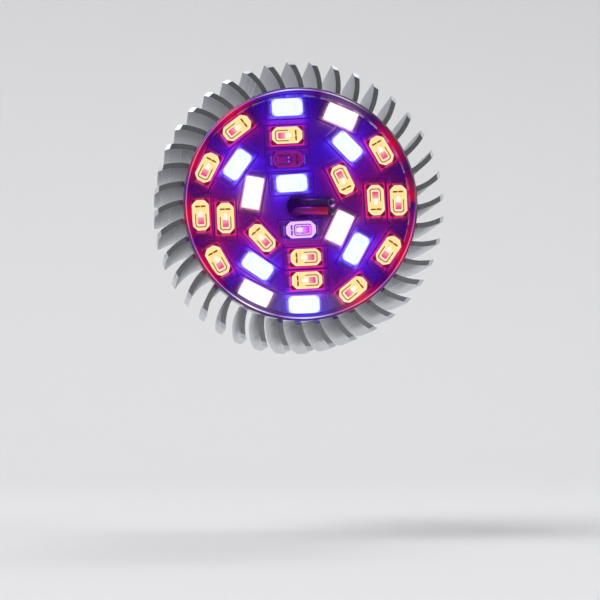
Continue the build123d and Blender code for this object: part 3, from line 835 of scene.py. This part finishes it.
def package(emitter):
    """An emitter's package: a block with a tapered cup, seen by its own light. On the floor of
    the cup lie the tray of the die, a bright edge beside the die, a slot in two parts, bond
    wires, and a bright spot over the middle."""
    look = {part: np.array(linear(code)) for part, code in LOOKS[emitter.tint].items()}
    mouth_length, mouth_width, corner, softness = MOUTHS[emitter.tint]
    halo = HALOS.get(emitter.tint, 0.0)
    bench = Bench()

    def ring(length, width, corner, softness, height, part):
        """A ring of the block and its cup, with its colour."""
        outline = emitter_outline(length, width, corner, softness)
        return [emitter.lay(x, y, height) for x, y in outline], look[part]

    def block(inset, height):
        """A ring round the outside."""
        return ring(package_length - inset, package_width - inset, package_corner, 1, height, "side")

    def cup(inset, height, part):
        """A ring round the cup, in from its mouth."""
        return ring(mouth_length - inset, mouth_width - inset, corner, softness, height, part)

    bench.stack(
        block(0, 0),
        block(0, package_height - 0.08),
        block(0.04, package_height - 0.02),
        block(0.06, package_height),
        cup(-0.03 - halo, package_height, "lip" if halo else "side"),
        cup(0.04, package_height, "rim"),
        cup(0.1, package_height - 0.02, "lip"),
        cup(0.24, package_height - 0.12, "lip"),
        cup(0.36, package_height - 0.2, "wall"),
        cup(2 * wall_lean - 0.06, cup_floor + 0.02, "wall"),
        cup(2 * wall_lean, cup_floor, "floor"),
    )

    def plate(part, x, length, width, corner, rise, y=0.0):
        """A thin plate on the floor, with a bevelled edge."""
        outline = emitter_outline(length, width, corner, 1)
        inner = emitter_outline(length - 0.06, width - 0.06, corner, 1)
        bottom = [emitter.lay(x + u, y + v, cup_floor - 0.03) for u, v in outline]
        upper = [emitter.lay(x + u, y + v, cup_floor + rise - 0.01) for u, v in outline]
        top = [emitter.lay(x + u, y + v, cup_floor + rise) for u, v in inner]
        bench.stack((bottom, look[part]), (upper, look[part]), (top, look[part]))

    def bond_wire(side):
        """A bond wire from the die to the slot."""
        thickness, die_end, slot_end = 0.07, (-0.5, 0.49), (1.15, 0.33)
        bottom, top = [], []
        for (x, y), wider in ((die_end, 1), (slot_end, 1), (slot_end, 0), (die_end, 0)):
            across = side * (y + wider * thickness)
            bottom.append(emitter.lay(x, across, cup_floor))
            top.append(emitter.lay(x, across, cup_floor + 0.065))
        bench.stack((bottom, look["wires"]), (top, look["wires"]))

    for values in ULTRAVIOLET_PLATES if emitter.tint == "ultraviolet" else FLOOR_PLATES:
        plate(*values)
    for side in (-1, 1):
        plate("bar", 1.62, 0.3, 0.9, 0.12, 0.045, y=0.5 * side)
        bond_wire(side)
    turns = [2 * pi * i / 20 for i in range(20)]
    spot_place, spot_share = 0.22, 0.9
    spot = []
    for radius, height, part in ((0.74, 0.03, "tray"), (0.72, 0.045, "tray"), (0.4, 0.055, "spot")):
        oval = [(spot_place + radius * cos(t), spot_share * radius * sin(t)) for t in turns]
        spot.append(([emitter.lay(x, y, cup_floor + height) for x, y in oval], look[part]))
    bench.stack(*spot)
    if emitter.tint == "infrared":
        # All that shows of its light is two faint dots.
        dot_place, dot_apart, dot_radius, faint = 0.1, 0.36, 0.14, linear("#FF7AF0")
        for side in (-1, 1):
            x, y = dot_place, dot_apart * side
            dot = [(x + dot_radius * cos(t), y + dot_radius * sin(t)) for t in turns]
            low = [emitter.lay(u, v, cup_floor) for u, v in dot]
            high = [emitter.lay(u, v, cup_floor + 0.08) for u, v in dot]
            bench.stack((low, faint), (high, faint))
    name = emitter.node.replace("_emitter_", "_package_")
    bench.piece(name, lit_resin, "package_resin", emitter.node)


def dies():
    """The dies: small square chips, paler towards the spot."""
    length, width, corner, place_along, palest = 1.24, 1.1, 0.08, -0.95, 0.45
    bench = Bench()
    for emitter in emitters:
        look = {part: np.array(linear(LOOKS[emitter.tint][part])) for part in ("die", "spot")}
        rings = []
        for inset, height in ((0, -0.02), (0, 0.13), (0.05, 0.16)):
            outline = emitter_outline(length - inset, width - inset, corner, 1)
            paler = np.array([palest * max(0, 2 * x / length) ** 2 for x, _ in outline])[:, None]
            shades = look["die"] * (1 - paler) + look["spot"] * paler
            ring = [emitter.lay(x + place_along, y, cup_floor + height) for x, y in outline]
            rings.append((ring, shades))
        bench.stack(*rings)
    bench.piece("die_chips", lit_resin, "emitter_die", "emitter_dies")


# The clear resins are tinted a little with their emitters' colour, as painted light.
RESIN_LIGHT_TINTS = {
    "red": "#FFF4E8",
    "blue": "#F8FCFF",
    "white": "#FFFFFA",
    "ultraviolet": "#FCF4FF",
    "infrared": "#F6E8F4",
}


def resin(tint):
    """The clear resin in the cups of one colour, with a top that sank a little as it set."""
    # The resin's base colour is a faint painted tint of its emitter's light.
    finish = clear_silicone(f"poured {tint} silicone", RESIN_LIGHT_TINTS[tint])
    bench = Bench()
    mouth_length, mouth_width, corner, softness = MOUTHS[tint]
    dark = np.zeros(3)
    for emitter in emitters:
        if emitter.tint != tint:
            continue
        rings = []
        levels = (
            (2 * wall_lean - 0.05, cup_floor - 0.01),
            (-0.03, package_height - 0.03),
            (0.5, package_height - 0.045),
            (1.2, package_height - 0.06),
        )
        for inset, height in levels:
            outline = emitter_outline(mouth_length - inset, mouth_width - inset, corner, softness)
            rings.append(([emitter.lay(x, y, height) for x, y in outline], dark))
        bench.stack(*rings)
    bench.piece(f"{tint}_cup_resin", finish, f"{tint}_silicone", f"{tint}_resin", crease=60)


def lands():
    """The tinned lands under the emitters' ends and the leads' joints. They lie in the shade
    of the packages, so they show dark, with a bright fillet of solder against each end."""
    length, width, overlap, thickness = 1.5, 2.4, 0.6, land_top - board_front
    middle = package_length / 2 - overlap + length / 2
    foot, inset_foot, inset_top, shaded = 0.34, 0.3, 0.25, 0.5
    section = ((0, 1, 0.0), (0.25, 0.6, 0.08), (0.6, 0.25, 0.2), (1, 0.0, 0.42))
    bench, fillets = Bench(), Bench()
    for emitter in emitters:
        for end in (-1, 1):
            rings = []
            for inset, height in ((0, -thickness), (0, -0.03), (0.06, 0)):
                outline = emitter_outline(length - inset, width - inset, 0.25, 1)
                ring = [emitter.lay(x + end * middle, y, height) for x, y in outline]
                rings.append((ring, shaded * spill(ring)))
            bench.stack(*rings)
            rings = []
            for share, reach, height in section:
                half = width / 2 - inset_foot - inset_top * share
                inner = package_length / 2 - 0.02
                outer = package_length / 2 + foot * reach + 0.01
                corners = ((inner, -half), (outer, -half), (outer, half), (inner, half))
                ring = [emitter.lay(end * x, end * y, height) for x, y in corners]
                rings.append((ring, spill(ring) * (0.9 + 0.5 * share) + 0.06 * share))
            fillets.stack(*rings)
    for level in (red_level, black_level):
        outline = emitter_outline(length, 2 * lead_radius, 0.2, 1)
        ring = [place(lead_end + lead_radius - 0.1 + x, level + y, board_front) for x, y in outline]
        top = [point + Vector((0, -thickness * MM, 0)) for point in ring]
        light = 0.8 * shaded * spill(ring)
        bench.stack((ring, light), (top, light))
    bench.piece("tinned_lands", lit_tin, "tinned_copper", "board_lands")
    fillets.piece("solder_fillets", lit_tin, "tinned_copper", "emitter_terminals", crease=60)


def mask_edges():
    """The edge of the solder mask round each emitter's place: a thin dark frame."""
    length, width, strip, rise, dark, plain = 8.3, 4.3, 0.09, 0.02, 0.5, 0.95
    board_edge = board_radius - 0.1
    section = ((0, 0, plain), (0, rise, plain), (1, rise, dark))
    section += ((2, rise, dark), (3, rise, plain), (3, 0, plain))
    bench = Bench()
    for emitter in emitters:
        rings = []
        for share, height, dim in section:
            inset = 2 * strip * share
            ring = []
            for x, y in emitter_outline(length - inset, width - inset, 0.2, 1):
                point = emitter.lay(x, y, height - (land_top - board_front))
                away = hypot(point.x, point.z)
                pull = min(1, (board_edge - inset / 2) * MM / away)
                ring.append(Vector((point.x * pull, point.y, point.z * pull)))
            rings.append((ring, dim * spill(ring)))
        bench.loop(*rings)
    bench.piece("mask_frames", lit_mask, "solder_mask")


def board():
    """The emitter board: a disc with the wire hole, printed with a glossy mask, and lit by the
    emitters on it. Its front is a fine grid, to hold the light."""
    segments, ring_step = 400, 0.22
    count = round((board_radius - hole_radius) / ring_step)
    front = [hole_radius + (board_radius - hole_radius) * i / count for i in range(count + 1)]
    profile = [(radius, board_front) for radius in front]
    profile += [(board_radius, board_back), (hole_radius, board_back)]
    made = lathe("lit_board", profile, lit_mask, "solder_mask", "emitter_board", segments=segments)
    glow(made, spill([v.co for v in made.data.vertices]))


def cap():
    """The clear cap: a shallow cup with rounded edges, mouth down in the recess."""
    lathe(
        "polished_cap",
        rounded(
            (0, cap_front, 0),
            (cap_radius, cap_front, cap_edge),
            (cap_radius, recess_floor, 0.15),
            (cap_radius - cap_wall, recess_floor, 0.15),
            (cap_radius - cap_wall, cap_front - cap_window, 0.12),
            (0, cap_front - cap_window, 0),
        ),
        polycarbonate,
        "clear_polycarbonate",
        "clear_cap",
    )


lands()
mask_edges()
for emitter in emitters:
    package(emitter)
dies()
for tint in LOOKS:
    resin(tint)
board()
cap()


def screw_shell():
    """The screw shell: thin sheet with a rolled round thread, a lip for the insulator, and a
    collar that is staked into the neck at four places."""
    pitch, turns, fade = 3.63, 4.5, 0.5
    wall, lip_rise, flare, stakes = 0.4, 1.3, 1.0, 4
    stake_radius, stake_depth, stake_height = 0.9, 0.3, rim - 1.5
    thread_start = lip_start + lip_rise
    thread_end = thread_start + turns * pitch
    segments = 160
    heights = [lip_start + lip_rise * i / 6 for i in range(6)]
    heights += [thread_start + (thread_end - thread_start) * i / 96 for i in range(97)]
    heights += [thread_end + (rim - thread_end) * i / 24 for i in range(1, 25)]

    def outside(height, angle):
        """The radius of the shell's outside: the lip, then the thread, then the collar."""
        if height < thread_start:
            share = (height - lip_start) / lip_rise
            return lip_radius + lip_step * sin(share * pi / 2)
        if height <= thread_end:
            turned = (height - thread_start) / pitch
            strength = sin(pi / 2 * min(1, turned / fade, (turns - turned) / fade)) ** 2
            return thread_root + thread_depth / 2 * strength * (1 + cos(angle - 2 * pi * turned))
        share = min(1, (height - thread_end) / flare)
        radius = thread_root + (shell_radius - thread_root) * (1 - cos(pi * share)) / 2
        for stake in range(stakes):
            turn = (angle - 2 * pi * (stake + 0.5) / stakes + pi) % (2 * pi) - pi
            away = hypot(turn * shell_radius, height - stake_height) / stake_radius
            radius -= stake_depth * max(0, 1 - away**2) ** 2 if away < 1 else 0
        return radius

    rows = [(height, 0) for height in heights] + [(height, wall) for height in reversed(heights)]
    points, faces = [], []
    for height, inset in rows:
        for i in range(segments):
            angle = 2 * pi * i / segments
            radius = outside(height, angle) - inset
            points.append(place(radius * cos(angle), radius * sin(angle), height))
    for row in range(len(rows)):
        low, high = row * segments, (row + 1) % len(rows) * segments
        for i in range(segments):
            on = (i + 1) % segments
            faces.append((low + i, low + on, high + on, high + i))
    shape("rolled_shell", points, faces, nickel, "nickel_plated_brass", "screw_shell", crease=50)


def insulator():
    """The black insulator: a cone with rounded edges, and a plug inside the shell's lip."""
    tip_radius, plug_radius = 7.25, lip_radius - 0.4
    lathe(
        "moulded_insulator",
        rounded(
            (rivet_radius, contact_height, 0),
            (tip_radius, contact_height, 0.4),
            (lip_radius, lip_start, 0.2),
            (plug_radius, lip_start, 0),
            (plug_radius, plug_top, 0.2),
            (rivet_radius, plug_top, 0),
        ),
        black_plastic,
        "black_thermoset",
        "base_insulator",
    )


def contact():
    """The centre contact: a crowned disc with a rolled edge, and its rivet."""
    crown, crown_share, edge_height, steps = 0.7, 0.97, 0.9, 14
    bow = (contact_radius**2 + crown**2) / (2 * crown)
    profile = [Vector((0, rivet_top)), Vector((0, 0))]
    for i in range(1, steps + 1):
        radius = contact_radius * crown_share * i / steps
        profile.append(Vector((radius, bow - (bow**2 - radius**2) ** 0.5)))
    profile += rounded(
        (contact_radius, edge_height, 0.1),
        (contact_radius, contact_height, 0.25),
        (rivet_radius, contact_height, 0),
    )
    profile.append(Vector((rivet_radius, rivet_top)))
    lathe("stamped_contact", profile, contact_nickel, "nickel_plated_contact", "centre_contact")


screw_shell()
insulator()
contact()


def bent_route(corners, bend, steps=10):
    """Points along straight runs that are joined by arcs of a radius, in millimetres."""
    route = [corners[0]]
    for back, here, on in zip(corners, corners[1:], corners[2:]):
        to_back, to_on = (back - here).normalized(), (on - here).normalized()
        half = to_back.angle(to_on) / 2
        centre = here + (to_back + to_on).normalized() * bend / sin(half)
        begin = here + to_back * bend / tan(half) - centre
        end = here + to_on * bend / tan(half) - centre
        axis = begin.cross(end)
        turn = begin.angle(end)
        route += [centre + Matrix.Rotation(turn * i / steps, 3, axis) @ begin for i in range(steps + 1)]
    route.append(corners[-1])
    return route


def tube(bench, route, radius, colour, sides=40):
    """A round wire along a route, in millimetres, with each ring turned as little as can be."""
    rings = []
    side = (route[1] - route[0]).orthogonal().normalized()
    for i, point in enumerate(route):
        ahead = (route[min(i + 1, len(route) - 1)] - route[max(i - 1, 0)]).normalized()
        side = (side - ahead * side.dot(ahead)).normalized()
        up = ahead.cross(side)
        turns = [2 * pi * k / sides for k in range(sides)]
        rings.append(([(point + radius * (side * cos(t) + up * sin(t))) * MM for t in turns], colour))
    bench.stack(*rings)


def lead(name, corners, finish, slot, node, shade):
    """An insulated lead in the light of the emitters round it."""
    bench, steps = Bench(), 16
    route = bent_route([place(*corner) / MM for corner in corners], lead_bend)
    straight = [route[-2].lerp(route[-1], i / steps) for i in range(1, steps + 1)]
    tube(bench, route[:-1] + straight, lead_radius, np.zeros(3))
    made = shape(name, bench.points, bench.faces, finish, slot, node, crease=50)
    glow(made, [shade(vertex.co.x / MM, vertex.normal.z) for vertex in made.data.vertices])


def peak(value, middle, width):
    """A smooth bump of one at a middle."""
    return exp(-(((value - middle) / width) ** 2))


def red_shade(x, up):
    """Red insulation in painted violet light, redder towards its joint, with a painted highlight
    streak above and a broader one below."""
    share = min(1, max(0, x / lead_end))
    body = Vector(linear("#46005C")).lerp(Vector(linear("#900028")), share)
    # Painted highlights along the top and the bottom of the wire.
    above = 0.9 * peak(up, 0.8, 0.16) * peak(x, 1.2, 1.1)
    below = 0.55 * peak(up, -0.62, 0.24) * min(1, max(0, x))
    streak = Vector(linear("#A010B0")).lerp(Vector(linear("#B8205C")), share)
    return body + above * Vector(linear("#9A30F0")) + below * streak


def black_shade(x, up):
    """Black insulation in painted light: nearly dark, with a painted violet highlight above,
    near the bend.
    """
    # A painted violet highlight above, near the bend, and a faint one along the top.
    painted_sheen = 0.8 * peak(up, 0.7, 0.16) * peak(x, 1.9, 0.7) + 0.15 * peak(up, 0.9, 0.2)
    return Vector(linear("#260044")) + painted_sheen * Vector(linear("#8A4CE0"))


# The red lead comes straight up through the hole. The black one starts beside it, further
# right, and crosses over to its own side behind the board.
red_place, black_start, black_place = -0.5, 2.0, 0.6
cross_from, cross_to = lead_start + 5, recess_floor - 5.5
lead(
    "red_wire",
    [
        (red_place, red_level, lead_start),
        (red_place, red_level, lead_height),
        (lead_end, red_level, lead_height),
    ],
    lit_red_vinyl,
    "red_insulation",
    "red_lead",
    red_shade,
)
lead(
    "black_wire",
    [
        (black_start, red_level, lead_start),
        (black_start, red_level, cross_from),
        (black_place, black_level, cross_to),
        (black_place, black_level, lead_height),
        (lead_end, black_level, lead_height),
    ],
    lit_black_vinyl,
    "black_insulation",
    "black_lead",
    black_shade,
)


def joint(level, share):
    """The rings of one solder joint: a smooth dome that wets the land and the wire's end, in
    painted shade but for painted reflections of the emitters round its shoulder."""
    middle, oval, segments = lead_end + 0.6, 0.9, 48
    # Painted reflections of the emitters: the bearing, width and colour of each glint.
    painted_reflections = ((-60, 32, "#FF9CFF"), (62, 22, "#E080F0"), (178, 30, "#9C80E0"))
    dome = ((0.98, 0, 0), (0.9, 0.2, 0.1), (0.84, 0.6, 1), (0.64, 1.0, 0.9))
    dome += ((0.46, 1.2, 0.05), (0.08, 1.3, 0))
    rings = []
    for radius, height, bright in dome:
        points, shades = [], []
        for turn in [2 * pi * i / segments for i in range(segments)]:
            x = max(middle + radius * cos(turn), lead_end)
            points.append(place(x, level + oval * radius * sin(turn), land_top + height))
            # The dome's dark base colour is painted shade.
            shade = Vector(linear("#1C0030"))
            for bearing, width, code in painted_reflections:
                away = (turn - radians(bearing) + pi) % (2 * pi) - pi
                shade += share * bright * peak(away, 0, radians(width)) * Vector(linear(code))
            shades.append(shade)
        rings.append((points, np.array(shades)))
    return rings


joints = Bench()
joints.stack(*joint(black_level, 1.0))
joints.stack(*joint(red_level, 0.2))
joints.piece("lead_solder", lit_solder, "solder", "lead_joints", crease=60)

# Stage: a pale floor below the lamp that curves up into a backdrop behind it.
floor_level, floor_start, bend_start, bend_radius = -0.060, -1.5, 0.30, 0.25
wall_top, half_width, bend_steps = 1.6, 2.0, 24
profile = [(floor_start, floor_level), (bend_start, floor_level)]
for i in range(1, bend_steps + 1):
    turn = pi / 2 * i / bend_steps
    rise = bend_radius * (1 - cos(turn))
    profile.append((bend_start + bend_radius * sin(turn), floor_level + rise))
profile.append((bend_start + bend_radius, wall_top))
points = [Vector((side, y, z)) for y, z in profile for side in (-half_width, half_width)]
faces = [(2 * i, 2 * i + 1, 2 * i + 3, 2 * i + 2) for i in range(len(profile) - 1)]
sweep_mesh = bpy.data.meshes.new("paper_sweep")
sweep_mesh.from_pydata(points, [], faces)
sweep_mesh.shade_smooth()
# Paper: quite matt, with a faint fibre.
paper, tree, shader, where = start("matt pale paper", "#D9D9DB", 0.9)
fibre = add(tree, "ShaderNodeTexNoise", {"Vector": where, "Scale": per(2.0), "Detail": 4.0})
bump = add(tree, "ShaderNodeBump", {"Height": fibre.outputs["Fac"], "Distance": 0.02 * MM})
connect(tree, shader, {"Normal": bump.outputs["Normal"]})
sweep_mesh.materials.append(paper)
sweep = bpy.data.objects.new("paper_sweep", sweep_mesh)
bpy.context.scene.collection.objects.link(sweep)

# World: white where it is seen, and a plain soft light otherwise. A gloss sees it dark on the
# side that the face looks at, as with a black card there, so that the cap stays clear.
world = bpy.data.worlds.new("soft studio")
world.use_nodes = True
bpy.context.scene.world = world
tree = world.node_tree
rays = add(tree, "ShaderNodeLightPath")
towards = add(tree, "ShaderNodeSeparateXYZ", {0: add(tree, "ShaderNodeTexCoord").outputs["Generated"]})
dark_side = add(
    tree,
    "ShaderNodeMapRange",
    {"Value": towards.outputs["Y"], "From Min": -0.9, "From Max": -0.5, "To Min": 0.02, "To Max": 0.9},
)
in_gloss = add(
    tree,
    "ShaderNodeMath",
    {0: rays.outputs["Is Glossy Ray"], 1: rays.outputs["Is Transmission Ray"]},
    operation="MAXIMUM",
)
soft = add(tree, "ShaderNodeMix", {0: in_gloss.outputs[0], 2: 0.45, 3: dark_side.outputs["Result"]})
level = add(tree, "ShaderNodeMix", {0: rays.outputs["Is Camera Ray"], 2: soft.outputs[0], 3: 0.9})
connect(tree, tree.nodes["Background"], {"Strength": level.outputs[0], "Color": (1, 1, 1, 1)})


def soft_lamp(name, where, size, power):
    """A square soft lamp that looks at the middle of the object."""
    looked_at = Vector((0, -0.04, 0))
    light = bpy.data.lights.new(name, "AREA")
    light.shape = "SQUARE"
    light.size = size
    light.energy = power
    made = bpy.data.objects.new(name, light)
    made.location = where
    made.rotation_mode = "QUATERNION"
    made.rotation_quaternion = (looked_at - made.location).to_track_quat("-Z", "Y")
    bpy.context.scene.collection.objects.link(made)


# A key above on the left, a fill on the right, and one behind for the edges of the fins.
soft_lamp("key_lamp", Vector((-0.55, -0.25, 0.75)), 0.7, 5.5)
soft_lamp("fill_lamp", Vector((0.7, -0.4, 0.35)), 0.6, 2.2)
soft_lamp("back_lamp", Vector((0.3, 0.5, 0.8)), 0.5, 3.0)

# Camera: a little below the lamp's axis and to its left, as the photograph looks at it, with
# the face above the middle of the frame.
view_distance, view_rise, view_turn = 0.3272, radians(7), radians(5)
frame_angle, face_rise, face_shift, roll = radians(18.5), 0.0172, 0.00035, radians(0.4)
camera = bpy.data.objects.new("camera", bpy.data.cameras.new("camera"))
bpy.context.scene.collection.objects.link(camera)
face = place(0, 0, cap_front)
level_way = Vector((-sin(view_turn), -cos(view_turn), 0))
camera.location = face + view_distance * (cos(view_rise) * level_way - Vector((0, 0, sin(view_rise))))
camera.rotation_mode = "QUATERNION"
aim = face - Vector((face_shift, 0, face_rise)) - camera.location
camera.rotation_quaternion = aim.to_track_quat("-Z", "Y") @ Quaternion((0, 0, 1), -roll)
camera.data.lens = camera.data.sensor_width / 2 / tan(frame_angle / 2)
camera.data.clip_start = 0.01
bpy.context.scene.camera = camera
bpy.context.scene.view_settings.view_transform = "Standard"
